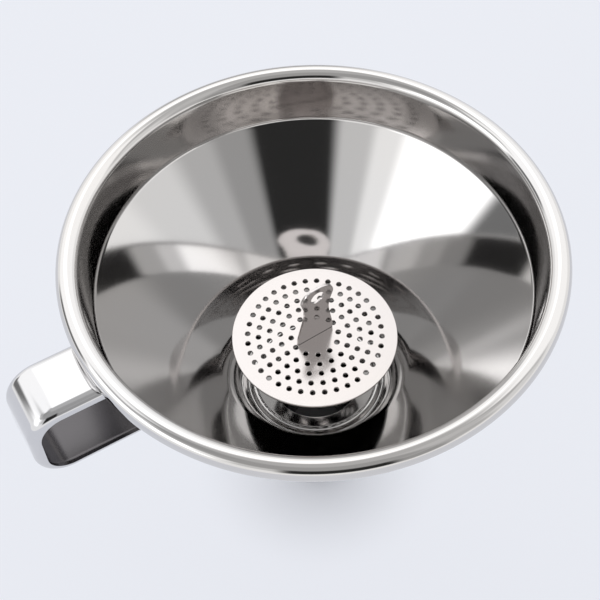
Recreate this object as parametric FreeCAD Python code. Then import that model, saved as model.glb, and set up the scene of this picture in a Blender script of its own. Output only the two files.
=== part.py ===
import FreeCAD, Part

import math
import os

# Strainer funnel of polished sheet steel, in millimetres.
# The origin is the centre of the spout's lower end, +Z is up and the handle points along -X.
# The strainer is a loose perforated disc with an upright tab, shown lifted clear of its seat.

V = FreeCAD.Vector
UP = V(0, 0, 1)

# Funnel: overall and sheet
funnel_diameter = 140.6
funnel_sheet = 0.8

# Rolled rim, an open curl of the same sheet
rim_bead_radius = 3.1
rim_curl_degrees = 305.0

# Wall above the bowl, which leans out a little from a soft crease
crease_inset = 8.7
crease_radius = 3.0
crease_to_bead_height = 13.7

# Bowl: a straight cone that seats the strainer, then one wide arc up to the crease
cone_angle = 45.5
cone_run = 9.4
bowl_top_angle = 62.0

# Neck: the throat, its sloping ledge, the round bead about it and the groove outside the bead
throat_radius = 13.6
throat_flange_drop = 3.0
throat_edge_radius = 1.0
ledge_width = 6.0
ledge_rise = 3.2
neck_bead_top_radius = 1.3
neck_bead_outer_width = 2.0
neck_bead_outer_fall = 2.4
groove_radius = 0.5
groove_wall_width = 0.2
groove_depth = 2.0
cone_foot_radius = 1.0

# Spout: a tapered tube and a straight nozzle
spout_taper_length = 26.0
nozzle_length = 22.0
nozzle_diameter = 20.0
nozzle_bend_radius = 12.0

# Handle: a pressed strap with its long edges turned in, welded on by a pad at each end
strap_sheet = 1.0
strap_width = 19.0
strap_edge_radius = 3.0
strap_top_gap = 0.8
handle_reach = 25.6
handle_height = 28.5
handle_bend_radius = 10.0
weld_gap = 0.3
wall_pad_length = 8.0
bowl_pad_length = 12.0
pad_width = 13.0

# Strainer disc and its rings of holes
strainer_sheet = 0.8
strainer_seat_width = 3.2
strainer_lift = 18.5
strainer_turn = 3.0
hole_diameter = 1.56
hole_ring_pitch = 3.28
hole_edge_margin = 4.0
holes_in_first_ring = 12
holes_added_per_ring = 6
hole_phase = 4.7

# Lifting tab, a plate that stands on the middle of the disc
tab_sheet = 0.8
tab_height = 22.95
tab_base_width = 12.3
tab_foot_height = 2.2
tab_foot_radius = 6.0
tab_waist_width = 7.7
tab_waist_height = 13.2
tab_waist_radius = 12.0
tab_head_width = 10.9
tab_shoulder_height = 18.5
tab_shoulder_radius = 1.8
tab_head_radius = 4.1
tab_hole_diameter = 4.5
tab_hole_height = 18.9
tab_to_hole = 0.23

# Working heights and radii, from the spout's lower end up
taper_top = nozzle_length + spout_taper_length
throat_height = taper_top + throat_flange_drop
crease_r = funnel_diameter / 2 - crease_inset
bead_r = funnel_diameter / 2 - rim_bead_radius


def point(r, z):
    """A point of a profile, at radius r and height z."""
    return V(r, 0, z)


def direction(degrees):
    """A unit vector in the profile's plane, at this many degrees above +r."""
    return V(math.cos(math.radians(degrees)), 0, math.sin(math.radians(degrees)))


def unit(a, b):
    """The unit vector from a to b."""
    return (b - a).normalize()


def left_of(d):
    """The unit vector to the left of d in the profile's plane."""
    return V(-d.z, 0, d.x)


def turn_between(d, e):
    """The signed turn from direction d to direction e, positive to the left."""
    return math.atan2(d.x * e.z - d.z * e.x, d.dot(e))


def shifted(points, radii, offset):
    """The same rounded path moved to its right by offset, with the radii that keep it parallel."""
    dirs = [unit(a, b) for a, b in zip(points, points[1:])]
    moved = [points[0] - left_of(dirs[0]) * offset]
    new_radii = []
    for p, d, e, radius in zip(points[1:-1], dirs, dirs[1:], radii):
        turn = turn_between(d, e)
        mitre = left_of(d) + left_of(e)
        moved.append(p - mitre * (offset / (1 + d.dot(e))))
        new_radii.append(radius + offset if turn > 0 else radius - offset)
    moved.append(points[-1] - left_of(dirs[-1]) * offset)
    return moved, new_radii


def rounded(points, radii):
    """Edges along points, with each inner corner rounded to its radius."""
    edges = []
    start = points[0]
    for p, before, after, radius in zip(points[1:-1], points, points[2:], radii):
        d = unit(before, p)
        e = unit(p, after)
        turn = turn_between(d, e)
        length = radius * math.tan(abs(turn) / 2)
        first = p - d * length
        last = p + e * length
        side = 1 if turn > 0 else -1
        centre = first + left_of(d) * (radius * side)
        middle = centre + (p - centre).normalize() * radius
        if (first - start).Length > 1e-6:
            edges.append(Part.makeLine(start, first))
        edges.append(Part.Arc(first, middle, last).toShape())
        start = last
    if (points[-1] - start).Length > 1e-6:
        edges.append(Part.makeLine(start, points[-1]))
    return edges


def sheet_wire(points, radii, thickness):
    """The closed outline of a sheet whose shown face follows points and whose body lies to its right."""
    other_points, other_radii = shifted(points, radii, thickness)
    edges = rounded(points, radii) + rounded(other_points, other_radii)
    edges.append(Part.makeLine(points[0], other_points[0]))
    edges.append(Part.makeLine(points[-1], other_points[-1]))
    return Part.Wire(Part.__sortEdges__(edges))


def revolved(wire):
    """The solid of revolution of a profile about the funnel's axis."""
    return Part.Face(wire).revolve(V(0, 0, 0), UP, 360)


def neck_points():
    """The shown face of the neck, from the throat's lower edge out to the foot of the cone."""
    throat = point(throat_radius, throat_height)
    bead_top = throat + point(ledge_width, ledge_rise)
    groove = bead_top + point(neck_bead_outer_width, -neck_bead_outer_fall)
    cone_foot = groove + point(groove_wall_width, groove_depth)
    return [point(throat_radius, taper_top), throat, bead_top, groove, cone_foot]


def bowl_arc():
    """The bowl's wide arc: its start and end on the shown face, its radius and its corner point."""
    foot = neck_points()[-1]
    start = foot + point(cone_run, cone_run * math.tan(math.radians(cone_angle)))
    low, high = math.radians(cone_angle), math.radians(bowl_top_angle)
    run = crease_r - start.x
    radius = run / (math.sin(high) - math.sin(low))
    end = start + point(run, radius * (math.cos(low) - math.cos(high)))
    corner = start + direction(cone_angle) * (radius * math.tan((high - low) / 2))
    return start, end, radius, corner


def bowl_height(r):
    """The height of the bowl's shown face at radius r, on its cone or on its arc."""
    foot = neck_points()[-1]
    start, end, radius, corner = bowl_arc()
    if r <= start.x:
        return foot.z + (r - foot.x) * math.tan(math.radians(cone_angle))
    centre = start + left_of(direction(cone_angle)) * radius
    return centre.z - math.sqrt(radius ** 2 - (r - centre.x) ** 2)


def wall_tangent(crease, bead):
    """Where the straight wall from the crease meets the rim's bead on its inner side."""
    reach = (bead - crease).Length
    lean = turn_between(V(1, 0, 0), unit(crease, bead)) + math.asin(rim_bead_radius / reach)
    length = math.sqrt(reach ** 2 - rim_bead_radius ** 2)
    return crease + direction(math.degrees(lean)) * length


def shell_path():
    """The bowl's shown face from the throat to the rim's bead, its corner radii and the bead's centre."""
    start, end, radius, corner = bowl_arc()
    bead = point(bead_r, end.z + crease_to_bead_height)
    top = wall_tangent(end, bead)
    climb = turn_between(direction(bowl_top_angle), unit(end, top))
    crease_length = crease_radius * math.tan(climb / 2)
    crease = end + direction(bowl_top_angle) * crease_length
    top = wall_tangent(crease, bead)
    points = neck_points() + [corner, crease, top]
    radii = [
        throat_edge_radius,
        neck_bead_top_radius,
        groove_radius,
        cone_foot_radius,
        radius,
        crease_radius,
    ]
    return points, radii, bead


def curl_arc(bead, radius, first_degrees):
    """An arc of the rim's curl, over the top and round to its free edge."""
    last = first_degrees - rim_curl_degrees
    angles = (first_degrees, (first_degrees + last) / 2, last)
    a, b, c = [bead + direction(angle) * radius for angle in angles]
    return Part.Arc(a, b, c).toShape(), c


def make_funnel_bowl():
    """Bowl, wall, rolled rim and neck, spun from one sheet."""
    points, radii, bead = shell_path()
    other_points, other_radii = shifted(points, radii, funnel_sheet)
    arm = points[-1] - bead
    first_degrees = math.degrees(math.atan2(arm.z, arm.x))
    outer, outer_end = curl_arc(bead, rim_bead_radius, first_degrees)
    inner, inner_end = curl_arc(bead, rim_bead_radius - funnel_sheet, first_degrees)
    edges = rounded(points, radii) + rounded(other_points, other_radii) + [outer, inner]
    edges.append(Part.makeLine(points[0], other_points[0]))
    edges.append(Part.makeLine(outer_end, inner_end))
    return revolved(Part.Wire(Part.__sortEdges__(edges)))


def make_spout():
    """Tapered tube and straight nozzle, butt-welded under the throat's flange."""
    bore = nozzle_diameter / 2 - funnel_sheet
    points = [point(bore, 0), point(bore, nozzle_length), point(throat_radius, taper_top)]
    return revolved(sheet_wire(points, [nozzle_bend_radius], funnel_sheet))


def strap_section():
    """The strap's cross-section: a flat with both long edges turned in.

    It lies in the YZ plane with its outer face at z = 0 and its body below.
    """
    flat = strap_width / 2 - strap_edge_radius
    inner = strap_edge_radius - strap_sheet
    low = -strap_edge_radius
    bend = math.sqrt(0.5)

    def at(y, z):
        return V(0, y, z)

    edges = [Part.makeLine(at(-flat, 0), at(flat, 0))]
    edges.append(Part.makeLine(at(-flat, -strap_sheet), at(flat, -strap_sheet)))
    for sign in (-1, 1):
        centre = at(sign * flat, low)
        for radius in (strap_edge_radius, inner):
            tip = centre + at(sign * radius, 0)
            middle = centre + at(sign * radius * bend, radius * bend)
            head = centre + at(0, radius)
            edges.append(Part.Arc(head, middle, tip).toShape())
        side = sign * flat
        inner_tip = at(side + sign * inner, low)
        edges.append(Part.makeLine(inner_tip, at(side + sign * strap_edge_radius, low)))
    return Part.Face(Part.Wire(Part.__sortEdges__(edges)))


def placed(section, x, z, degrees):
    """The strap's section at x and z on its path, turned about Y."""
    shape = section.copy()
    shape.rotate(V(0, 0, 0), V(0, 1, 0), degrees)
    shape.translate(V(x, 0, z))
    return shape


def strap_runs(reach, top):
    """The strap along its path: top run, bend, grip, bend and lower run, on past the bowl's sheet."""
    section = strap_section()
    bend = handle_bend_radius
    low = top - handle_height
    corner = reach - bend
    along = V(corner - throat_radius, 0, 0)
    back = V(0, -1, 0)
    top_run = placed(section, -throat_radius, top, 0).extrude(along * -1)
    top_bend = placed(section, -corner, top, 0).revolve(V(-corner, 0, top - bend), back, 90)
    grip = placed(section, -reach, top - bend, -90).extrude(V(0, 0, 2 * bend - handle_height))
    low_bend = placed(section, -reach, low + bend, -90).revolve(V(-corner, 0, low + bend), back, 90)
    low_run = placed(section, -corner, low, 180).extrude(along)
    return top_run.fuse([top_bend, grip, low_bend, low_run]).removeSplitter()


def make_handle_strap():
    """The strap, cut to the bowl's outside, with a welded pad on the wall and one on the bowl."""
    points, radii, bead = shell_path()
    wall_outer = funnel_diameter / 2 - 2 * rim_bead_radius + funnel_sheet
    top = bead.z - rim_bead_radius - strap_top_gap
    low = top - handle_height
    reach = wall_outer + handle_reach

    # The bowl's outside with its welding gap, and a jacket one strap sheet thick around it
    near_points, near_radii = shifted(points, radii, funnel_sheet + weld_gap)
    far_points, far_radii = shifted(points, radii, funnel_sheet + weld_gap + strap_sheet)
    near = rounded(near_points, near_radii)
    first, last = near_points[0], near_points[-1]
    corners = [last, point(last.x, bead.z), point(0, bead.z), point(0, first.z), first]
    closing = [Part.makeLine(a, b) for a, b in zip(corners, corners[1:])]
    inside = revolved(Part.Wire(Part.__sortEdges__(near + closing)))
    ends = [Part.makeLine(first, far_points[0]), Part.makeLine(last, far_points[-1])]
    jacket = revolved(Part.Wire(Part.__sortEdges__(near + rounded(far_points, far_radii) + ends)))

    pads = []
    for height, length in ((top, wall_pad_length), (low + strap_sheet, bowl_pad_length)):
        corner = V(-reach, -pad_width / 2, height - length)
        pads.append(jacket.common(Part.makeBox(reach, pad_width, length, corner)))
    return strap_runs(reach, top).cut(inside).fuse(pads).removeSplitter()


def strainer_radius():
    """The disc's radius, from the groove outside the neck's bead and the width of its seat."""
    return neck_points()[-1].x + strainer_seat_width


def strainer_base():
    """The height of the disc's lower face where it is shown, above its seat on the cone."""
    return bowl_height(strainer_radius()) + strainer_lift


def turned(shape):
    """A strainer piece turned about the funnel's axis to the strainer's own direction."""
    shape.rotate(V(0, 0, 0), UP, strainer_turn)
    return shape


def make_strainer_disc():
    """A flat disc with rings of round holes, 12 in the first ring and 6 more in each one after."""
    base = strainer_base()
    disc = Part.makeCylinder(strainer_radius(), strainer_sheet, V(0, 0, base))
    radius = tab_base_width / 2 + tab_to_hole + hole_diameter / 2
    count = holes_in_first_ring
    holes = []
    while radius + hole_diameter / 2 + hole_edge_margin < strainer_radius() + 1e-6:
        for index in range(count):
            angle = math.radians(hole_phase + 360.0 * index / count)
            place = V(radius * math.cos(angle), radius * math.sin(angle), base - strainer_sheet)
            holes.append(Part.makeCylinder(hole_diameter / 2, 3 * strainer_sheet, place))
        radius += hole_ring_pitch
        count += holes_added_per_ring
    return turned(disc.cut(holes))


def make_strainer_tab():
    """The upright plate on the disc, waisted, with a round eye in its head."""
    base = strainer_base() + strainer_sheet
    side = [
        point(tab_base_width / 2, 0),
        point(tab_base_width / 2, tab_foot_height),
        point(tab_waist_width / 2, tab_waist_height),
        point(tab_head_width / 2, tab_shoulder_height),
        point(tab_head_width / 2, tab_height),
    ]
    radii = [tab_foot_radius, tab_waist_radius, tab_shoulder_radius, tab_head_radius]
    other_side = [point(-p.x, p.z) for p in side]
    edges = rounded(side + other_side[::-1], radii + radii[::-1])
    edges.append(Part.makeLine(other_side[0], side[0]))
    plate = Part.Face(Part.Wire(Part.__sortEdges__(edges))).extrude(V(0, -tab_sheet, 0))
    plate.translate(V(0, tab_sheet / 2, base))
    eye_start = V(0, -1.5 * tab_sheet, base + tab_hole_height)
    eye = Part.makeCylinder(tab_hole_diameter / 2, 3 * tab_sheet, eye_start, V(0, 1, 0))
    return turned(plate.cut(eye))


def main():
    """Writes one STEP file for each piece."""
    os.makedirs("parts", exist_ok=True)
    pieces = {
        "funnel_bowl": make_funnel_bowl(),
        "spout": make_spout(),
        "handle_strap": make_handle_strap(),
        "strainer_disc": make_strainer_disc(),
        "strainer_tab": make_strainer_tab(),
    }
    for name, shape in pieces.items():
        print(name, "valid" if shape.isValid() else "not valid", round(shape.Volume, 1))
        shape.exportStep(f"parts/{name}.step")


main()
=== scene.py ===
"""Builds the looks of a steel strainer funnel: fine meshes for its five pieces, and a pale studio."""

import math

import bmesh
import bpy
from mathutils import Matrix, Vector


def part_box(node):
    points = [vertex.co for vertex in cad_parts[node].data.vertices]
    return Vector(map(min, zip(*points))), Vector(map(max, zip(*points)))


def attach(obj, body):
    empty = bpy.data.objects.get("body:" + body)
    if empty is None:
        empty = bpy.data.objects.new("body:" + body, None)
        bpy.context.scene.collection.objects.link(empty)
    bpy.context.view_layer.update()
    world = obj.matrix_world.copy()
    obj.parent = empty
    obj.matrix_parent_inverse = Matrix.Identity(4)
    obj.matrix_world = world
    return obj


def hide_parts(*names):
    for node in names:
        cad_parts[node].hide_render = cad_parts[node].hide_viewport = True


bl_info = {
    "name": "Strainer Funnel",
    "version": (1, 0, 0),
    "blender": (4, 5, 0),
    "location": "View3D > Sidebar > Funnel",
    "description": "Models a sheet-steel strainer funnel and its studio",
    "category": "Add Mesh",
}

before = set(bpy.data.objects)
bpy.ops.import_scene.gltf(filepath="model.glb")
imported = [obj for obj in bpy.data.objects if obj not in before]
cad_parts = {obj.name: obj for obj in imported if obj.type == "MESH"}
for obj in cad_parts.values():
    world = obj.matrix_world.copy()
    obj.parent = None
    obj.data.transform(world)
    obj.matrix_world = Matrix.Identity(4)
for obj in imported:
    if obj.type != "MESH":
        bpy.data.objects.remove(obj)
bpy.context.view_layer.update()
BOWL_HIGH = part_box("funnel_bowl")[1]
SPOUT_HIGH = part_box("spout")[1]
STRAP_LOW, STRAP_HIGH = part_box("handle_strap")
DISC_LOW, DISC_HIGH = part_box("strainer_disc")
TAB_LOW, TAB_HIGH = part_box("strainer_tab")


def mm(value):
    """Millimetres in metres."""
    return value * 0.001


def length(name, default, description):
    """A size in metres that the panel shows."""
    return bpy.props.FloatProperty(
        name=name, description=description, default=default, min=0.0, precision=5, unit="LENGTH"
    )


def angle(name, degrees, description):
    """An angle that the panel shows in degrees."""
    return bpy.props.FloatProperty(
        name=name, description=description, default=math.radians(degrees), subtype="ANGLE"
    )


def factor(name, default, description):
    """A plain number that the panel shows."""
    return bpy.props.FloatProperty(name=name, description=description, default=default, precision=4)


def colour(name, default, description):
    """A colour that the panel shows."""
    return bpy.props.FloatVectorProperty(
        name=name, description=description, default=default, size=3, min=0.0, max=1.0, subtype="COLOR"
    )


class BowlSizes(bpy.types.PropertyGroup):
    """Sizes of the spun bowl, its neck and its rolled rim."""

    rim_radius: length("Rim radius", BOWL_HIGH.x, "Radius over the rolled rim")
    sheet: length("Sheet", mm(0.8), "Thickness of the bowl's sheet")
    bead_radius: length("Bead radius", mm(3.1), "Radius of the rolled rim's section")
    curl_turn: angle("Curl turn", 305.0, "How far the rim's sheet curls round")
    crease_inset: length("Crease inset", mm(8.7), "From the rim's outside in to the crease")
    crease_radius: length("Crease radius", mm(3.0), "Bend between bowl and wall")
    crease_to_bead: length("Crease to bead", mm(14.2), "Height from the crease to the rim's centre")
    rim_height: length("Rim height", BOWL_HIGH.z, "Height of the rolled rim's top")
    foot_slope: angle("Foot slope", 64.0, "Slope of the bowl's steep foot")
    foot_run: length("Foot run", mm(4.0), "Width of the bowl's steep foot")
    foot_bend: length("Foot bend", mm(40.0), "Radius from the steep foot into the cone")
    throat_radius: length("Throat radius", mm(13.6), "Radius of the throat")
    throat_drop: length("Throat drop", mm(3.0), "Height of the throat's flange")
    throat_edge: length("Throat edge", mm(1.0), "Rounding of the throat's edge")
    ledge_width: length("Ledge width", mm(6.0), "From the throat to the top of the neck's bead")
    ledge_rise: length("Ledge rise", mm(3.2), "Height of the neck's bead above the throat")
    bead_top: length("Bead top", mm(1.3), "Rounding of the neck's bead")
    bead_outer: length("Bead outer side", mm(2.0), "Width of the neck bead's outer side")
    bead_fall: length("Bead fall", mm(2.4), "Fall of the neck bead's outer side")
    groove_round: length("Groove rounding", mm(0.5), "Rounding of the groove")
    groove_width: length("Groove width", mm(0.2), "Lean of the groove's outer side")
    groove_depth: length("Groove depth", mm(2.0), "Depth of the groove under the bowl")
    cone_foot: length("Foot rounding", mm(1.0), "Rounding where the bowl starts above the groove")


class SpoutSizes(bpy.types.PropertyGroup):
    """Sizes of the spout under the throat."""

    top: length("Top", SPOUT_HIGH.z, "Height of the spout's upper end")
    nozzle_length: length("Nozzle length", mm(22.0), "Length of the straight nozzle")
    nozzle_radius: length("Nozzle radius", mm(10.0), "Outer radius of the nozzle")
    bend_radius: length("Bend radius", mm(12.0), "Bend between nozzle and taper")


class StrapSizes(bpy.types.PropertyGroup):
    """Sizes of the strap handle."""

    sheet: length("Sheet", mm(1.0), "Thickness of the strap's sheet")
    half_width: length("Half width", STRAP_HIGH.y, "Half the strap's width over its edges")
    edge_radius: length("Edge radius", mm(3.0), "Radius of the turned-in long edges")
    bend_radius: length("Bend radius", mm(10.0), "Outer radius of the strap's two bends")
    reach: length("Reach", -STRAP_LOW.x, "From the funnel's axis to the grip's outer face")
    top: length("Top", STRAP_HIGH.z, "Height of the upper run's outer face")
    drop: length("Drop", mm(28.5), "Height over the two runs")
    gap: length("Weld gap", mm(0.3), "Space that the weld fills between strap and bowl")
    wall_pad: length("Wall pad", mm(8.0), "Height of the welded pad on the wall")
    bowl_pad: length("Bowl pad", mm(12.0), "Height of the welded pad on the bowl")
    pad_width: length("Pad width", mm(13.0), "Width of both welded pads")


class StrainerSizes(bpy.types.PropertyGroup):
    """Sizes of the perforated disc and its lifting tab."""

    radius: length("Radius", DISC_HIGH.x, "Radius of the disc")
    base: length("Base", DISC_LOW.z, "Height of the disc's lower face")
    sheet: length("Sheet", mm(0.8), "Thickness of the disc and of the tab")
    edge_round: length("Edge rounding", mm(0.15), "Rounding of cut edges")
    hole_radius: length("Hole radius", mm(0.78), "Radius of the holes")
    ring_pitch: length("Ring pitch", mm(3.28), "Distance between the rings of holes")
    turn: angle("Turn", 3.0, "How far the tab is turned from the handle's direction")
    hole_phase: angle("Hole phase", 4.7, "Direction of the first hole in each ring, from the tab")
    hole_gap: length("Hole gap", mm(0.23), "From the tab's foot to the first ring of holes")
    tab_height: length("Tab height", TAB_HIGH.z - TAB_LOW.z, "Height of the tab")
    tab_base: length("Tab base", mm(12.3), "Width of the tab at its foot")
    tab_foot: length("Tab foot", mm(2.2), "Height where the tab's sides start to lean in")
    tab_foot_round: length("Foot rounding", mm(6.0), "Rounding above the tab's foot")
    tab_waist: length("Tab waist", mm(7.7), "Width between the lines that meet at the tab's waist")
    tab_waist_height: length("Waist height", mm(13.2), "Height of the tab's waist")
    tab_waist_round: length("Waist rounding", mm(12.0), "Rounding of the tab's waist")
    tab_head: length("Tab head", mm(10.9), "Width of the tab's head")
    tab_shoulder: length("Shoulder height", mm(18.5), "Height of the tab's shoulders")
    tab_shoulder_round: length("Shoulder rounding", mm(1.8), "Rounding of the tab's shoulders")
    tab_head_round: length("Head rounding", mm(4.1), "Rounding of the tab's head")
    lean: factor("Tab lean", 0.055, "How far the tab leans along its own plane, over its height")
    weld: length("Weld line", mm(0.22), "Height of the weld line at the tab's foot")
    eye_radius: length("Eye radius", mm(2.25), "Radius of the eye in the tab")
    eye_height: length("Eye height", mm(18.9), "Height of the eye's centre")


class SteelLooks(bpy.types.PropertyGroup):
    """Colours and polish of the steel."""

    bowl: colour("Bowl", (0.67, 0.655, 0.645), "Colour of the bowl's steel")
    spout: colour("Spout", (0.66, 0.645, 0.635), "Colour of the spout's steel")
    strap: colour("Strap", (0.67, 0.66, 0.66), "Colour of the strap's steel")
    # A near-black tint on the strap's faces that look into its loop: painted shade inside the handle.
    inside: colour("Inside of the strap", (0.12, 0.115, 0.12), "Colour of the handle's dull inside")
    # A darker tint on the disc's downward faces: painted shade under the disc.
    underside: colour("Underside", (0.34, 0.325, 0.32), "Colour of the disc's dull underside")
    weld: colour("Weld", (0.1, 0.095, 0.09), "Colour of the weld line at the tab's foot")
    disc: colour("Disc", (0.6, 0.565, 0.55), "Colour of the disc's steel")
    tab: colour("Tab", (0.62, 0.585, 0.575), "Colour of the tab's steel")
    polish: factor("Polish", 0.07, "Roughness of the mirror polish")
    satin: factor("Satin", 0.16, "Roughness of the disc")


class StudioLooks(bpy.types.PropertyGroup):
    """Camera and light of the studio."""

    elevation: angle("Elevation", 56.3, "Height of the camera over the horizon")
    azimuth: angle("Azimuth", 29.5, "Turn of the camera from the handle's side view")
    roll: angle("Roll", 1.35, "Roll of the camera")
    distance: length("Distance", mm(374.3), "From the camera to the disc's centre")
    focal: factor("Focal length", 1240.0, "Focal length in picture pixels")
    floor: colour("Floor", (0.84, 0.86, 0.92), "Colour of the floor")
    glow: factor("Floor glow", 0.8, "How much of the floor's paleness shows without light")
    # The floor's glow fades out towards the spout's foot: a painted shadow under the spout, between these two
    # radii.
    painted_shadow_inner: length("Glow start", mm(10.0), "Radius round the spout where the floor starts to glow")
    painted_shadow_outer: length("Glow full", mm(45.0), "Radius round the spout where the floor's glow is full")
    backdrop: factor("Backdrop", 0.6, "Strength of the plain light overhead")


# The photograph's frame, and where the disc's centre stands in it
FRAME_PIXELS = 600
DISC_PIXEL = (314.7, 334.9)
SENSOR = 36.0

# Holes in each ring of the strainer disc, from the inside out
RING_COUNTS = (12, 18, 24, 30, 36)

# Segments round whole circles, and steps through the strap's bends, its turned edges and its pads
AROUND = 256
AROUND_DISC = 192
AROUND_HOLE = 20
AROUND_EYE = 48
BEND_STEPS = 24
EDGE_STEPS = 12
PAD_STEPS = 24

# Distances between the points of a profile, and the widest turn from one to the next
SHOWN_STEP = mm(1.5)
HIDDEN_STEP = mm(2.5)
CURL_STEP = mm(0.5)
TAB_STEP = mm(0.6)
WIDEST_TURN = math.radians(6)

# Vertices this close are one, edges over SHARP are shaded sharp, edges over CUT_EDGE are rounded,
# and a plate's face is flat if its normal has this much of the plate's own
MERGE = mm(0.001)
SHARP = math.radians(32)
CUT_EDGE = math.radians(60)
FLAT = 0.999

# The strap is swept from this far off the bowl, and its pads are cut from this much of a turn
START_GAP = mm(1)
PAD_ARC = math.radians(24)

# The fine marks that spinning, drawing and tumbling leave: their scale, and how much they stand out
SPUN_MARKS = (900.0, 0.05)
DRAWN_MARKS = (700.0, 0.04)
TUMBLED_MARKS = (1400.0, 0.03)
MARK_DEPTH = mm(0.02)
STRAP_GRAIN = (0.04, 1.0, 0.04)

# Scales of the smears and of the faint colour casts, and the casts' two tints
SMEARS = 28.0
CASTS = 11.0
WARM = (1.02, 1.0, 0.97)
COOL = (0.97, 1.0, 1.04)

# What the even polish, the marks and the smears add to the roughness
EVEN_SHARE = 0.7
MARKS_SHARE = 0.3
SMEARS_SHARE = 0.35

# Faces whose normal points down by more than this are the disc's underside, which gets a painted shade
DOWNWARD = -0.5

FLOOR_SIZE = 2.0
FLOOR_ROUGHNESS = 0.9


# Profiles: rounded paths in the plane of radius and height

def point(r, z):
    """A point of a profile, at radius r and height z."""
    return Vector((r, 0.0, z))


def heading(slope):
    """The direction at this slope above +r."""
    return Vector((math.cos(slope), 0.0, math.sin(slope)))


def left_of(d):
    """The direction to the left of d in the profile's plane."""
    return Vector((-d.z, 0.0, d.x))


def turn_between(d, e):
    """The signed turn from d to e, positive to the left."""
    return math.atan2(d.x * e.z - d.z * e.x, d.dot(e))


def shifted(corners, radii, offset):
    """The same rounded path moved to its right by offset, with the radii that keep it parallel."""
    ways = [(b - a).normalized() for a, b in zip(corners, corners[1:])]
    moved = [corners[0] - left_of(ways[0]) * offset]
    new_radii = []
    for p, d, e, radius in zip(corners[1:-1], ways, ways[1:], radii):
        moved.append(p - (left_of(d) + left_of(e)) * (offset / (1 + d.dot(e))))
        new_radii.append(radius + offset if turn_between(d, e) > 0 else radius - offset)
    moved.append(corners[-1] - left_of(ways[-1]) * offset)
    return moved, new_radii


def arc_points(centre, radius, first, turn, step):
    """Points along an arc from slope first through turn, about step apart or closer."""
    count = max(2, math.ceil(abs(turn) / min(WIDEST_TURN, step / radius)))
    return [centre + heading(first + turn * i / count) * radius for i in range(count + 1)]


def straight_points(a, b, step, tuck):
    """Points along a straight, with one close to each end so that smooth shading leaves it flat."""
    way = b - a
    if way.length < 3 * tuck:
        return [a, b]
    count = max(1, math.ceil((way.length - 2 * tuck) / step))
    near, far = a + way.normalized() * tuck, b - way.normalized() * tuck
    return [a] + [near.lerp(far, i / count) for i in range(count + 1)] + [b]


def rounded(corners, radii, step=SHOWN_STEP):
    """Points along a path with each inner corner rounded to its radius."""
    points = []
    start = corners[0]
    for p, before, after, radius in zip(corners[1:-1], corners, corners[2:], radii):
        d = (p - before).normalized()
        turn = turn_between(d, (after - p).normalized())
        first = p - d * (radius * math.tan(abs(turn) / 2))
        side = 1 if turn > 0 else -1
        centre = first + left_of(d) * (radius * side)
        arm = first - centre
        points += straight_points(start, first, 8 * step, step / 4)[:-1]
        bend = arc_points(centre, radius, math.atan2(arm.z, arm.x), turn, step)
        points += bend[:-1]
        start = bend[-1]
    return points + straight_points(start, corners[-1], 8 * step, step / 4)


def neck_corners(bowl, spout):
    """The neck's shown face, from the throat's lower edge out to the foot of the bowl."""
    throat = point(bowl.throat_radius, spout.top + bowl.throat_drop)
    bead = throat + point(bowl.ledge_width, bowl.ledge_rise)
    groove = bead + point(bowl.bead_outer, -bowl.bead_fall)
    foot = groove + point(bowl.groove_width, bowl.groove_depth)
    return [point(bowl.throat_radius, spout.top), throat, bead, groove, foot]


def wall_top(bowl, crease, bead):
    """Where the straight wall from the crease meets the rim's bead on its inner side."""
    reach = (bead - crease).length
    lean = math.atan2(bead.z - crease.z, bead.x - crease.x) + math.asin(bowl.bead_radius / reach)
    return crease + heading(lean) * math.sqrt(reach**2 - bowl.bead_radius**2)


def bowl_path(bowl, spout):
    """The bowl's shown face from the throat to the rim's bead: corners, radii and the bead's centre."""
    neck = neck_corners(bowl, spout)
    bend = neck[-1] + point(bowl.foot_run, bowl.foot_run * math.tan(bowl.foot_slope))
    bead = point(bowl.rim_radius - bowl.bead_radius, bowl.rim_height - bowl.bead_radius)
    end = point(bowl.rim_radius - bowl.crease_inset, bead.z - bowl.crease_to_bead)
    cone = (end - bend).normalized()
    climb = (wall_top(bowl, end, bead) - end).normalized()
    crease = end + cone * (bowl.crease_radius * math.tan(turn_between(cone, climb) / 2))
    corners = neck + [bend, crease, wall_top(bowl, crease, bead)]
    radii = [
        bowl.throat_edge, bowl.bead_top, bowl.groove_round, bowl.cone_foot, bowl.foot_bend, bowl.crease_radius
    ]
    return corners, radii, bead


def outer_face(bowl, spout, gap):
    """Points along the bowl's outer face, moved out by a gap."""
    corners, radii, _ = bowl_path(bowl, spout)
    return rounded(*shifted(corners, radii, bowl.sheet + gap))


def outer_radius(points, z):
    """The radius of an outer face at a height."""
    for a, b in zip(points, points[1:]):
        if a.z <= z <= b.z:
            return a.x + (b.x - a.x) * (z - a.z) / max(b.z - a.z, 1e-9)
    return points[-1].x


# Meshes

def loop(bm, points):
    """A closed loop of edges through points."""
    verts = [bm.verts.new(p) for p in points]
    return [bm.edges.new((a, b)) for a, b in zip(verts, verts[1:] + verts[:1])]


def lathe(points):
    """A bmesh of a closed profile spun once about the funnel's axis."""
    bm = bmesh.new()
    edges = loop(bm, points)
    bmesh.ops.spin(
        bm, geom=edges, cent=(0, 0, 0), axis=(0, 0, 1), angle=2 * math.pi, steps=AROUND, use_merge=True
    )
    return bm


def piece(bm, name, node, material):
    """Makes a finished object that stands for a CAD node."""
    bmesh.ops.remove_doubles(bm, verts=bm.verts, dist=MERGE)
    bmesh.ops.recalc_face_normals(bm, faces=bm.faces)
    for face in bm.faces:
        face.smooth = True
    for edge in bm.edges:
        edge.smooth = len(edge.link_faces) == 2 and edge.calc_face_angle() < SHARP
    mesh = bpy.data.meshes.new(name)
    bm.to_mesh(mesh)
    bm.free()
    thing = bpy.data.objects.new(name, mesh)
    bpy.context.scene.collection.objects.link(thing)
    mesh.materials.append(material)
    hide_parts(node)
    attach(thing, "root")
    return thing


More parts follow.
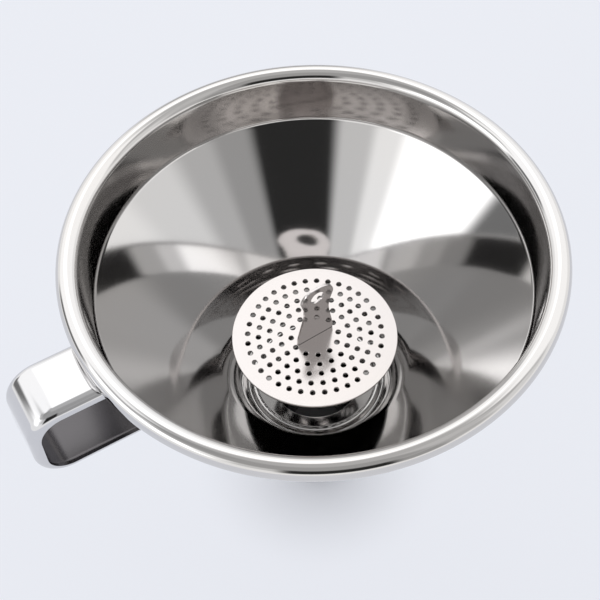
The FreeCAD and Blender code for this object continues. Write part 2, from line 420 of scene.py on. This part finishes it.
def round_edges(bm, radius):
    """Rounds the cut edges of a plate."""
    bmesh.ops.recalc_face_normals(bm, faces=bm.faces)
    rims = [e for e in bm.edges if len(e.link_faces) == 2 and e.calc_face_angle() > CUT_EDGE]
    bmesh.ops.bevel(
        bm, geom=rims, offset=radius, offset_type="OFFSET", segments=2, profile=0.5,
        affect="EDGES", material=-1, clamp_overlap=True
    )


def flatten(plate, way):
    """Shades the flat faces of a plate flat, so that only its rounded edges are smooth."""
    for face in plate.data.polygons:
        if abs(face.normal.dot(way)) > FLAT:
            face.use_smooth = False


# Shader maths

class Value:
    """A number socket whose Python operators add Math nodes."""

    def __init__(self, nodes, socket):
        self.nodes = nodes
        self.socket = socket

    def sum(self, operation, *values):
        """The result of a Math node on this value and others."""
        return self.nodes.add("ShaderNodeMath", {"operation": operation}, self, *values)

    def __add__(self, other):
        return self.sum("ADD", other)

    def __radd__(self, other):
        return self.sum("ADD", other)

    def __sub__(self, other):
        return self.sum("SUBTRACT", other)

    def __rsub__(self, other):
        return self.nodes.add("ShaderNodeMath", {"operation": "SUBTRACT"}, other, self)

    def __mul__(self, other):
        return self.sum("MULTIPLY", other)

    def __rmul__(self, other):
        return self.sum("MULTIPLY", other)


class Nodes:
    """A node tree that nodes are added to."""

    def __init__(self, owner):
        owner.use_nodes = True
        self.tree = owner.node_tree

    def add(self, kind, settings=None, *inputs, out=0, **named):
        """Adds a node with its settings and inputs, and returns one of its outputs.

        Inputs come in the node's own order, or by name, or by number as in _6.
        """
        node = self.tree.nodes.new(kind)
        for key, value in (settings or {}).items():
            setattr(node, key, value)
        for place, value in enumerate(inputs):
            self.feed(node.inputs[place], value)
        for name, value in named.items():
            place = int(name[1:]) if name[0] == "_" else name.replace("_", " ")
            self.feed(node.inputs[place], value)
        return Value(self, node.outputs[out])

    def blend(self, amount, first, second):
        """A colour between two others."""
        return self.add("ShaderNodeMix", {"data_type": "RGBA"}, amount, out=2, _6=first, _7=second)

    def smooth(self, value, low, high):
        """0 under low, 1 over high and a soft rise between them."""
        return self.add("ShaderNodeMapRange", {"interpolation_type": "SMOOTHSTEP"}, value, low, high)

    def feed(self, target, value):
        """Links a value to a socket, or sets a plain number there."""
        if isinstance(value, Value):
            self.tree.links.new(value.socket, target)
        else:
            target.default_value = value

    def named(self, kind):
        """The tree's own node of a kind."""
        return next(node for node in self.tree.nodes if node.bl_idname == kind)


def steel(name, tint, roughness, marks, mark_scale, mark_bump):
    """Polished steel whose fine marks run along one direction of the piece.

    marks is a function of the material's nodes that gives the marks' own coordinates.
    """
    material = bpy.data.materials.new(name)
    nodes = Nodes(material)
    shader = nodes.named("ShaderNodeBsdfPrincipled")
    shader.inputs["Metallic"].default_value = 1.0
    across = marks(nodes)
    lines = nodes.add("ShaderNodeTexNoise", {}, Vector=across, Scale=mark_scale, Detail=3.0)
    place = nodes.add("ShaderNodeTexCoord", out="Object")
    smears = nodes.add("ShaderNodeTexNoise", {}, Vector=place, Scale=SMEARS, Detail=4.0)
    cast = nodes.add("ShaderNodeTexNoise", {}, Vector=place, Scale=CASTS, Detail=1.0)
    warm = (*(part * share for part, share in zip(tint, WARM)), 1.0)
    cool = (*(part * share for part, share in zip(tint, COOL)), 1.0)
    nodes.feed(shader.inputs["Base Color"], nodes.blend(cast, warm, cool))
    polish = roughness * EVEN_SHARE + lines * (roughness * MARKS_SHARE)
    polish = polish + smears * (roughness * SMEARS_SHARE)
    nodes.feed(shader.inputs["Roughness"], polish)
    bump = nodes.add("ShaderNodeBump", {}, Height=lines, Strength=mark_bump, Distance=MARK_DEPTH)
    nodes.feed(shader.inputs["Normal"], bump)
    return material


def recolour(material, mask, tint, rougher):
    """Gives part of a material another tint and more roughness, where its mask is 1."""
    nodes = Nodes(material)
    shader = nodes.named("ShaderNodeBsdfPrincipled")
    colour, polish = [
        Value(nodes, shader.inputs[name].links[0].from_socket) for name in ("Base Color", "Roughness")
    ]
    amount = mask(nodes)
    nodes.feed(shader.inputs["Base Color"], nodes.blend(amount, colour, (*tint, 1.0)))
    nodes.feed(shader.inputs["Roughness"], polish + amount * rougher)


def painted_shade_facing_in(middle):
    """A mask of the faces that look towards a point inside the strap's loop, where a dark tint paints the
    shade that falls inside the handle.
    """
    def mask(nodes):
        """1 on those faces and 0 on the others."""
        place = nodes.add("ShaderNodeTexCoord", out="Object")
        arm = nodes.add("ShaderNodeVectorMath", {"operation": "SUBTRACT"}, place, middle)
        normal = nodes.add("ShaderNodeTexCoord", out="Normal")
        facing = nodes.add("ShaderNodeVectorMath", {"operation": "DOT_PRODUCT"}, arm, normal, out="Value")
        return facing.sum("LESS_THAN", 0.0)
    return mask


def painted_shade_facing_down(nodes):
    """A mask of the faces that look down, where the disc's underside is painted darker as shade."""
    normal = nodes.add("ShaderNodeTexCoord", out="Normal")
    return nodes.add("ShaderNodeSeparateXYZ", {}, normal, out="Z").sum("LESS_THAN", DOWNWARD)


def below(height):
    """A mask of what lies below a height."""
    def mask(nodes):
        """1 below the height and 0 above it."""
        place = nodes.add("ShaderNodeTexCoord", out="Object")
        return nodes.add("ShaderNodeSeparateXYZ", {}, place, out="Z").sum("LESS_THAN", height)
    return mask


def marks_around(nodes):
    """Coordinates that change only with radius and height, for marks left by spinning."""
    place = nodes.add("ShaderNodeTexCoord", out="Object")
    split = nodes.add("ShaderNodeSeparateXYZ", {}, place)
    x, y, z = [Value(nodes, socket) for socket in split.socket.node.outputs]
    r = (x * x + y * y).sum("SQRT")
    return nodes.add("ShaderNodeCombineXYZ", {}, r, 0.0, z)


def marks_along(nodes):
    """Coordinates stretched along the strap's run, for marks left by drawing the strip."""
    place = nodes.add("ShaderNodeTexCoord", out="Object")
    return nodes.add("ShaderNodeMapping", {}, Vector=place, Scale=STRAP_GRAIN)


def marks_all_ways(nodes):
    """Coordinates with no direction, for a tumbled finish."""
    return nodes.add("ShaderNodeTexCoord", out="Object")


class FUNNEL_OT_bowl(bpy.types.Operator):
    """Spin the bowl with its neck, wall and rolled rim"""

    bl_idname = "funnel.bowl"
    bl_label = "Funnel Bowl"

    def execute(self, context):
        """Builds the bowl from its sheet section."""
        scene = context.scene
        bowl, spout, looks = scene.funnel_bowl, scene.funnel_spout, scene.funnel_steel
        corners, radii, bead = bowl_path(bowl, spout)
        shown = rounded(corners, radii)
        hidden = rounded(*shifted(corners, radii, bowl.sheet), step=HIDDEN_STEP)
        arm = corners[-1] - bead
        first = math.atan2(arm.z, arm.x)
        inner = bowl.bead_radius - bowl.sheet
        outside = arc_points(bead, bowl.bead_radius, first, -bowl.curl_turn, CURL_STEP)
        inside = arc_points(bead, inner, first, -bowl.curl_turn, CURL_STEP)
        profile = shown[:-1] + outside + inside[::-1] + hidden[:-1][::-1]
        material = steel("bowl_polish", looks.bowl, looks.polish, marks_around, *SPUN_MARKS)
        piece(lathe(profile), "bowl", "funnel_bowl", material)
        return {"FINISHED"}


class FUNNEL_OT_spout(bpy.types.Operator):
    """Spin the tapered spout"""

    bl_idname = "funnel.spout"
    bl_label = "Funnel Spout"

    def execute(self, context):
        """Builds the spout from its sheet section."""
        scene = context.scene
        bowl, spout, looks = scene.funnel_bowl, scene.funnel_spout, scene.funnel_steel
        bore = spout.nozzle_radius - bowl.sheet
        corners = [point(bore, 0.0), point(bore, spout.nozzle_length), point(bowl.throat_radius, spout.top)]
        inside = rounded(corners, [spout.bend_radius])
        outside = rounded(*shifted(corners, [spout.bend_radius], bowl.sheet))
        material = steel("spout_polish", looks.spout, looks.polish, marks_around, *SPUN_MARKS)
        piece(lathe(inside + outside[::-1]), "spout_tube", "spout", material)
        return {"FINISHED"}


class FUNNEL_OT_strap(bpy.types.Operator):
    """Form the strap handle with its turned edges and welded pads"""

    bl_idname = "funnel.strap"
    bl_label = "Strap Handle"

    def section(self, strap):
        """The strap's closed section in the YZ plane, outer face at z = 0 and body below."""
        flat = strap.half_width - strap.edge_radius

        def corner(radius):
            """The rounded corner on the +Y side, from the flat face down the turned edge."""
            turns = [math.radians(90 - 90 * i / EDGE_STEPS) for i in range(EDGE_STEPS + 1)]
            depth = strap.edge_radius
            return [Vector((0, flat + radius * math.cos(t), radius * math.sin(t) - depth)) for t in turns]

        outer, inner = corner(strap.edge_radius), corner(strap.edge_radius - strap.sheet)
        mirrored = Vector((1, -1, 1))
        return [p * mirrored for p in outer[::-1]] + outer + inner[::-1] + [p * mirrored for p in inner]

    def swept(self, strap, near):
        """The strap swept along its runs and bends, starting and ending just off the bowl."""
        corner = strap.reach - strap.bend_radius
        low = strap.top - strap.drop
        upper = outer_radius(near, strap.top) + START_GAP
        lower = outer_radius(near, low + strap.edge_radius) + START_GAP
        bm = bmesh.new()
        edges = loop(bm, [p + Vector((-upper, 0, strap.top)) for p in self.section(strap)])

        def run(edges, vector, steps):
            """Extrudes the open edges along a straight run."""
            for _ in range(steps):
                grown = bmesh.ops.extrude_edge_only(bm, edges=edges)["geom"]
                verts = [e for e in grown if isinstance(e, bmesh.types.BMVert)]
                bmesh.ops.translate(bm, verts=verts, vec=vector / steps)
                edges = [e for e in grown if isinstance(e, bmesh.types.BMEdge) and e.is_boundary]
            return edges

        def bend(edges, height):
            """Spins the open edges through a quarter turn about a line at this height."""
            centre = (-corner, 0, height)
            grown = bmesh.ops.spin(
                bm, geom=edges, cent=centre, axis=(0, -1, 0), angle=math.pi / 2, steps=BEND_STEPS
            )["geom_last"]
            return [e for e in grown if isinstance(e, bmesh.types.BMEdge)]

        edges = run(edges, Vector((upper - corner, 0, 0)), steps=4)
        edges = bend(edges, strap.top - strap.bend_radius)
        edges = run(edges, Vector((0, 0, 2 * strap.bend_radius - strap.drop)), steps=3)
        edges = bend(edges, low + strap.bend_radius)
        run(edges, Vector((corner - lower, 0, 0)), steps=6)
        return bm

    def fit_ends(self, bm, near):
        """Moves the strap's two ends onto the bowl's outer face and closes them."""
        for v in bm.verts:
            if v.is_boundary:
                v.co.x = -math.sqrt(outer_radius(near, v.co.z) ** 2 - v.co.y ** 2)
        bmesh.ops.holes_fill(bm, edges=[e for e in bm.edges if e.is_boundary], sides=0)

    def pad(self, strap, near, far, top, height):
        """A welded pad, one sheet thick, that follows the bowl's outer face."""
        low = top - height
        inner = [p for p in near if low < p.z < top]
        outer = [p for p in far if low < p.z < top]
        inner = [point(outer_radius(near, low), low)] + inner + [point(outer_radius(near, top), top)]
        outer = [point(outer_radius(far, low), low)] + outer + [point(outer_radius(far, top), top)]
        bm = bmesh.new()
        face = bm.faces.new([bm.verts.new(p) for p in inner + outer[::-1]])
        turn = Matrix.Rotation(math.pi - PAD_ARC / 2, 4, "Z")
        bmesh.ops.transform(bm, matrix=turn, verts=bm.verts)
        geom = [face] + list(face.edges) + list(face.verts)
        bmesh.ops.spin(
            bm, geom=geom, cent=(0, 0, 0), axis=(0, 0, 1), angle=PAD_ARC, steps=PAD_STEPS
        )
        for side in (-1, 1):
            edge = Vector((0, side * strap.pad_width / 2, 0))
            geom = list(bm.verts) + list(bm.edges) + list(bm.faces)
            bmesh.ops.bisect_plane(bm, geom=geom, plane_co=edge, plane_no=(0, side, 0), clear_outer=True)
            bmesh.ops.holes_fill(bm, edges=[e for e in bm.edges if e.is_boundary], sides=0)
        return bm

    def execute(self, context):
        """Builds the strap and joins its pads to it."""
        scene = context.scene
        bowl, spout, strap = scene.funnel_bowl, scene.funnel_spout, scene.funnel_strap
        near = outer_face(bowl, spout, strap.gap)
        far = outer_face(bowl, spout, strap.gap + strap.sheet)
        bm = self.swept(strap, near)
        self.fit_ends(bm, near)
        low = strap.top - strap.drop + strap.sheet
        for top, height in ((strap.top, strap.wall_pad), (low, strap.bowl_pad)):
            extra = self.pad(strap, near, far, top, height)
            mesh = bpy.data.meshes.new("pad")
            extra.to_mesh(mesh)
            extra.free()
            bm.from_mesh(mesh)
            bpy.data.meshes.remove(mesh)
        looks = scene.funnel_steel
        material = steel("strap_polish", looks.strap, looks.polish, marks_along, *DRAWN_MARKS)
        middle = (-strap.reach / 2 - outer_radius(near, strap.top) / 2, 0.0, strap.top - strap.drop / 2)
        # Painted shade: the faces inside the strap's loop get a near-black tint, and a rougher finish as
        # well.
        recolour(material, painted_shade_facing_in(middle), looks.inside, looks.satin)
        piece(bm, "strap", "handle_strap", material)
        return {"FINISHED"}


class FUNNEL_OT_disc(bpy.types.Operator):
    """Punch the strainer disc"""

    bl_idname = "funnel.disc"
    bl_label = "Strainer Disc"

    def holes(self, size):
        """The centres of the holes, ring by ring."""
        radius = size.tab_base / 2 + size.hole_gap + size.hole_radius
        for count in RING_COUNTS:
            for i in range(count):
                way = size.turn + size.hole_phase + 2 * math.pi * i / count
                yield Vector((radius * math.cos(way), radius * math.sin(way), 0.0))
            radius += size.ring_pitch

    def execute(self, context):
        """Fills the disc's outline around its holes, gives it thickness and rounds its edges."""
        size = context.scene.funnel_strainer
        looks = context.scene.funnel_steel
        bm = bmesh.new()
        bmesh.ops.create_circle(bm, segments=AROUND_DISC, radius=size.radius)
        for centre in self.holes(size):
            move = Matrix.Translation(centre)
            bmesh.ops.create_circle(
                bm, segments=AROUND_HOLE, radius=size.hole_radius, matrix=move
            )
        bmesh.ops.triangle_fill(bm, edges=bm.edges, use_beauty=True, use_dissolve=False)
        bmesh.ops.translate(bm, verts=bm.verts, vec=(0, 0, size.base))
        grown = bmesh.ops.extrude_face_region(bm, geom=bm.faces[:])["geom"]
        top = [v for v in grown if isinstance(v, bmesh.types.BMVert)]
        bmesh.ops.translate(bm, verts=top, vec=(0, 0, size.sheet))
        round_edges(bm, size.edge_round)
        material = steel("disc_satin", looks.disc, looks.satin, marks_all_ways, *TUMBLED_MARKS)
        # Painted shade: the disc's downward faces get a darker tint, with no change of roughness.
        recolour(material, painted_shade_facing_down, looks.underside, 0.0)
        flatten(piece(bm, "disc", "strainer_disc", material), Vector((0, 0, 1)))
        return {"FINISHED"}


class FUNNEL_OT_tab(bpy.types.Operator):
    """Cut the lifting tab"""

    bl_idname = "funnel.tab"
    bl_label = "Lifting Tab"

    def outline(self, size):
        """The tab's outline from its right foot over the head to its left foot."""
        side = [
            point(size.tab_base / 2, 0.0),
            point(size.tab_base / 2, size.tab_foot),
            point(size.tab_waist / 2, size.tab_waist_height),
            point(size.tab_head / 2, size.tab_shoulder),
            point(size.tab_head / 2, size.tab_height),
        ]
        other = [point(-p.x, p.z) for p in side[::-1]]
        radii = [size.tab_foot_round, size.tab_waist_round, size.tab_shoulder_round, size.tab_head_round]
        return rounded(side + other, radii + radii[::-1], step=TAB_STEP)

    def execute(self, context):
        """Fills the tab's outline around its eye, gives it thickness and rounds its edges."""
        size = context.scene.funnel_strainer
        looks = context.scene.funnel_steel
        bm = bmesh.new()
        loop(bm, self.outline(size))
        eye = Matrix.Translation((0, 0, size.eye_height)) @ Matrix.Rotation(math.pi / 2, 4, "X")
        bmesh.ops.create_circle(bm, segments=AROUND_EYE, radius=size.eye_radius, matrix=eye)
        bmesh.ops.triangle_fill(bm, edges=bm.edges, use_beauty=True, use_dissolve=False)
        grown = bmesh.ops.extrude_face_region(bm, geom=bm.faces[:])["geom"]
        back = [v for v in grown if isinstance(v, bmesh.types.BMVert)]
        bmesh.ops.translate(bm, verts=back, vec=(0, size.sheet, 0))
        lean = Matrix(((1, 0, size.lean, 0), (0, 1, 0, -size.sheet / 2), (0, 0, 1, 0), (0, 0, 0, 1)))
        place = Matrix.Rotation(size.turn, 4, "Z") @ lean
        bmesh.ops.transform(bm, matrix=place, verts=bm.verts)
        bmesh.ops.translate(bm, verts=bm.verts, vec=(0, 0, size.base + size.sheet))
        round_edges(bm, size.edge_round)
        material = steel("tab_polish", looks.tab, looks.polish, marks_all_ways, *TUMBLED_MARKS)
        recolour(material, below(size.base + size.sheet + size.weld), looks.weld, looks.satin)
        across = Vector((-math.sin(size.turn), math.cos(size.turn), 0))
        flatten(piece(bm, "tab", "strainer_tab", material), across)
        return {"FINISHED"}


# The light all round, drawn one over the other: azimuth of the middle from the camera towards its right,
# half the width, lowest and highest elevation, strength and softness of the edges, angles in degrees
SCREENS = (
    ("pale room near the horizon", 0, 200, -90, 22, 1.1, 6),
    ("bright window behind the funnel", 160, 62, 20, 64, 1.35, 6),
    ("brightest part of the window, high up", -160, 28, 44, 70, 1.7, 6),
    ("pale wall at the left", -108, 36, 20, 62, 1.4, 6),
    ("white panel at the left", -65, 28, 15, 37, 2.1, 4),
    ("grey door in the left wall", -88, 14, 38, 50, 0.6, 5),
    ("grey wall over the left panel", -64, 24, 48, 74, 0.42, 6),
    ("pale wall at the right", 76, 16, 12, 40, 0.92, 6),
    ("grey wall over the right", 62, 20, 42, 72, 0.68, 6),
    ("shade above the camera", 2, 44, 38, 74, 0.45, 6),
    ("edge of the left panel", -38, 9, 22, 38, 1.15, 5),
    ("grey panel beside the camera", -22, 9, 22, 38, 0.75, 4),
    ("grey panel at the right", 50, 16, 12, 38, 0.6, 6),
    ("shade at the right of the camera", 38, 9, 8, 36, 0.42, 4),
    ("black screen around the camera", 8, 21, 12, 41, 0.03, 4),
    ("low dark door at the left", -105, 12, 5, 22, 0.22, 4),
    ("dim corner at the back", -172, 14, -90, 22, 0.55, 6),
)


class FUNNEL_OT_studio(bpy.types.Operator):
    """Set the floor, the light all round and the camera"""

    bl_idname = "funnel.studio"
    bl_label = "Studio"

    def floor(self, studio):
        """A wide pale floor under the spout, whose glow fades out round the spout's foot as a painted shadow.
        """
        bm = bmesh.new()
        bmesh.ops.create_grid(bm, x_segments=1, y_segments=1, size=FLOOR_SIZE)
        mesh = bpy.data.meshes.new("floor")
        bm.to_mesh(mesh)
        bm.free()
        ground = bpy.data.objects.new("floor", mesh)
        bpy.context.scene.collection.objects.link(ground)
        material = bpy.data.materials.new("floor_paper")
        nodes = Nodes(material)
        shader = nodes.named("ShaderNodeBsdfPrincipled")
        shader.inputs["Roughness"].default_value = FLOOR_ROUGHNESS
        shader.inputs["Base Color"].default_value = (*studio.floor, 1.0)
        paths = nodes.add("ShaderNodeLightPath").socket.node.outputs
        camera, glossy, clear = [
            Value(nodes, paths[name]) for name in ("Is Camera Ray", "Is Glossy Ray", "Is Transmission Ray")
        ]
        pale = nodes.add("ShaderNodeEmission", {}, (*studio.floor, 1.0), 1.0)
        lit = Value(nodes, shader.outputs[0])
        across = nodes.add("ShaderNodeTexCoord", out="Object")
        away = nodes.add("ShaderNodeVectorMath", {"operation": "LENGTH"}, across, out="Value")
        # Painted shadow: no glow near the spout's foot, rising to full glow further out.
        outside_painted_shadow = nodes.smooth(away, studio.painted_shadow_inner, studio.painted_shadow_outer)
        seen = (camera + glossy + clear).sum("MINIMUM", 1.0) * outside_painted_shadow * studio.glow
        nodes.feed(
            nodes.named("ShaderNodeOutputMaterial").inputs["Surface"],
            nodes.add("ShaderNodeMixShader", {}, seen, lit, pale),
        )
        mesh.materials.append(material)

    def light(self, studio):
        """The room's light by direction, as soft panels and dark screens on a plain level."""
        world = bpy.data.worlds.new("studio")
        bpy.context.scene.world = world
        nodes = Nodes(world)
        place = nodes.add("ShaderNodeTexCoord", out="Generated")
        split = nodes.add("ShaderNodeSeparateXYZ", {}, place).socket.node.outputs
        x, y, z = [Value(nodes, socket) for socket in split]
        way = -math.pi / 2 - studio.azimuth
        ahead = x * math.cos(way) + y * math.sin(way)
        right = y * math.cos(way) - x * math.sin(way)
        azimuth = right.sum("ARCTAN2", ahead) * math.degrees(1)
        elevation = z.sum("ARCSINE") * math.degrees(1)

        def rise(value, edge, soft):
            """Goes from 0 to 1 over an edge of this softness."""
            return nodes.smooth(value, edge - soft, edge + soft)

        level = studio.backdrop
        for _, middle, half, low, high, strength, soft in SCREENS:
            aside = (azimuth - middle).sum("WRAP", 180.0, -180.0).sum("ABSOLUTE")
            mask = 1 - rise(aside, half, soft)
            mask = mask * rise(elevation, low, soft) * (1 - rise(elevation, high, soft))
            level = level * (1 - mask) + mask * strength
        tone = nodes.add("ShaderNodeCombineXYZ", {}, level, level, level)
        nodes.feed(nodes.named("ShaderNodeBackground").inputs["Color"], tone)

    def camera(self, studio):
        """The camera at the photograph's angle, aimed so that the disc stands at its own pixel."""
        lens = bpy.data.cameras.new("camera")
        lens.sensor_width = SENSOR
        lens.lens = studio.focal / FRAME_PIXELS * SENSOR
        lens.clip_start = 0.01
        eye = bpy.data.objects.new("camera", lens)
        bpy.context.scene.collection.objects.link(eye)
        bpy.context.scene.camera = eye
        around = Matrix.Rotation(-studio.azimuth, 3, "Z")
        back = Vector((0, -math.cos(studio.elevation), math.sin(studio.elevation)))
        right = Vector((1, 0, 0))
        up = back.cross(right)
        axes = Matrix((right, up, back)).transposed()
        half = FRAME_PIXELS / 2
        ray = Vector(((DISC_PIXEL[0] - half) / studio.focal, (half - DISC_PIXEL[1]) / studio.focal, -1))
        aim = ray.normalized().rotation_difference(Vector((0, 0, -1))).to_matrix()
        turn = around @ axes @ Matrix.Rotation(-studio.roll, 3, "Z") @ aim
        place = around @ back * studio.distance + Vector((0, 0, DISC_HIGH.z))
        eye.matrix_world = Matrix.Translation(place) @ turn.to_4x4()

    def execute(self, context):
        """Builds the studio."""
        studio = context.scene.funnel_studio
        context.scene.view_settings.view_transform = "Standard"
        self.floor(studio)
        self.light(studio)
        self.camera(studio)
        return {"FINISHED"}


class FUNNEL_PT_panel(bpy.types.Panel):
    """Sidebar panel that lists the funnel's pieces and sizes"""

    bl_idname = "FUNNEL_PT_panel"
    bl_label = "Strainer Funnel"
    bl_space_type = "VIEW_3D"
    bl_region_type = "UI"
    bl_category = "Funnel"

    def draw(self, context):
        """Lists each operator above its sizes."""
        for operator, group in STEPS:
            box = self.layout.box()
            box.operator(operator.bl_idname)
            settings = getattr(context.scene, group)
            for name in settings.__annotations__:
                box.prop(settings, name)


GROUPS = {
    "funnel_bowl": BowlSizes,
    "funnel_spout": SpoutSizes,
    "funnel_strap": StrapSizes,
    "funnel_strainer": StrainerSizes,
    "funnel_steel": SteelLooks,
    "funnel_studio": StudioLooks,
}
STEPS = (
    (FUNNEL_OT_bowl, "funnel_bowl"),
    (FUNNEL_OT_spout, "funnel_spout"),
    (FUNNEL_OT_strap, "funnel_strap"),
    (FUNNEL_OT_disc, "funnel_strainer"),
    (FUNNEL_OT_tab, "funnel_strainer"),
    (FUNNEL_OT_studio, "funnel_studio"),
)


def register():
    """Registers the settings, the operators and the panel."""
    for name, group in GROUPS.items():
        bpy.utils.register_class(group)
        setattr(bpy.types.Scene, name, bpy.props.PointerProperty(type=group))
    for operator, _ in STEPS:
        bpy.utils.register_class(operator)
    bpy.utils.register_class(FUNNEL_PT_panel)


def unregister():
    """Takes back what register() added."""
    bpy.utils.unregister_class(FUNNEL_PT_panel)
    for operator, _ in reversed(STEPS):
        bpy.utils.unregister_class(operator)
    for name, group in reversed(GROUPS.items()):
        delattr(bpy.types.Scene, name)
        bpy.utils.unregister_class(group)


def main():
    """Registers the add-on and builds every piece."""
    register()
    bpy.ops.funnel.bowl()
    bpy.ops.funnel.spout()
    bpy.ops.funnel.strap()
    bpy.ops.funnel.disc()
    bpy.ops.funnel.tab()
    bpy.ops.funnel.studio()


if __name__ == "__main__":
    main()
